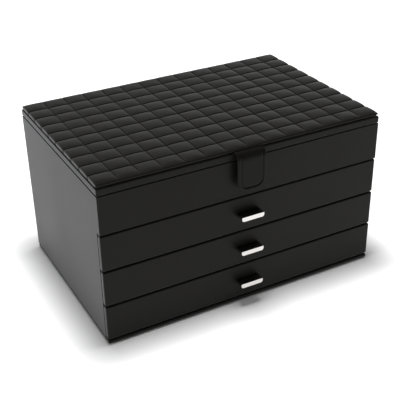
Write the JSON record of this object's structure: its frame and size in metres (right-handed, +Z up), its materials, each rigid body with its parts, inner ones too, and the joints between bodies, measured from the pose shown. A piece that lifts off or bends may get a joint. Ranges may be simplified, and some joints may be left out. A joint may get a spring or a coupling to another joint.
{
  "type": "jewellery chest",
  "caption": "Boxy jewellery chest: quilted lid on rear hinges over a divided tray, a strap closure, and a stack of sliding drawers with bar pulls.",
  "frame": {"origin": "centre of the underside, on the surface the chest stands on", "axes": "+X along the width, to the right seen from the front; the front faces -Y; +Z up"},
  "size_m": [0.34, 0.2445, 0.1937],
  "materials": {
    "leatherette": "fine grained black leatherette, satin",
    "quilted_leatherette": "quilted black leatherette over foam, satin",
    "velvet": "dark grey velvet over board, matt",
    "velvet_cushion": "dark grey velvet over foam, matt",
    "felt": "black felt, matt",
    "chrome": "polished chrome",
    "nickelled_steel": "nickel-plated, satin",
    "mirror": "silvered glass"
  },
  "bodies": {
    "case": {"base_felt": "felt", "base_board": "leatherette", "case_floor": "velvet", "left_side_panel": "leatherette", "right_side_panel": "leatherette", "back_panel": "leatherette", "upper_front_panel": "leatherette", "tray_floor": "velvet", "shelf_upper": "velvet", "shelf_lower": "velvet", "tray_divider_long": "velvet", "tray_divider_cross": "velvet", "ring_pad": "velvet_cushion", "keeper_plate": "nickelled_steel", "hinge_left_case_leaf": "nickelled_steel", "hinge_left_pin": "nickelled_steel", "hinge_left_case_screw_1": "nickelled_steel", "hinge_left_case_screw_2": "nickelled_steel", "hinge_right_case_leaf": "nickelled_steel", "hinge_right_pin": "nickelled_steel", "hinge_right_case_screw_1": "nickelled_steel", "hinge_right_case_screw_2": "nickelled_steel"},
    "lid": {"lid_board": "leatherette", "lid_lining": "velvet", "mirror": "mirror", "lid_quilt": "quilted_leatherette", "tab_anchor": "leatherette", "hinge_left_lid_leaf": "nickelled_steel", "hinge_left_lid_screw_1": "nickelled_steel", "hinge_left_lid_screw_2": "nickelled_steel", "hinge_right_lid_leaf": "nickelled_steel", "hinge_right_lid_screw_1": "nickelled_steel", "hinge_right_lid_screw_2": "nickelled_steel"},
    "tab": {"closure_tab": "leatherette", "tab_magnet": "nickelled_steel"},
    "drawer_1": {"drawer_1_front": "leatherette", "drawer_1_left": "velvet", "drawer_1_right": "velvet", "drawer_1_back": "velvet", "drawer_1_bottom": "velvet", "drawer_1_pull": "chrome", "drawer_1_pull_screw": "nickelled_steel", "drawer_1_divider_long": "velvet", "drawer_1_divider_cross": "velvet"},
    "drawer_2": {"drawer_2_front": "leatherette", "drawer_2_left": "velvet", "drawer_2_right": "velvet", "drawer_2_back": "velvet", "drawer_2_bottom": "velvet", "drawer_2_pull": "chrome", "drawer_2_pull_screw": "nickelled_steel", "drawer_2_divider_long": "velvet"},
    "drawer_3": {"drawer_3_front": "leatherette", "drawer_3_left": "velvet", "drawer_3_right": "velvet", "drawer_3_back": "velvet", "drawer_3_bottom": "velvet", "drawer_3_pull": "chrome", "drawer_3_pull_screw": "nickelled_steel"}
  },
  "joints": [
    {"name": "lid_hinge", "type": "hinge", "parent": "case", "child": "lid", "pos_m": [0, 0.1149, 0.18015], "axis": [-1, 0, 0], "range_deg": [0, 98]},
    {"name": "tab_bend", "type": "hinge", "parent": "lid", "child": "tab", "pos_m": [0, -0.1129, 0.189], "axis": [-1, 0, 0], "range_deg": [0, 75]},
    {"name": "drawer_1_slide", "type": "slide", "parent": "case", "child": "drawer_1", "axis": [0, -1, 0], "range_m": [0, 0.15]},
    {"name": "drawer_2_slide", "type": "slide", "parent": "case", "child": "drawer_2", "axis": [0, -1, 0], "range_m": [0, 0.15]},
    {"name": "drawer_3_slide", "type": "slide", "parent": "case", "child": "drawer_3", "axis": [0, -1, 0], "range_m": [0, 0.15]}
  ]
}
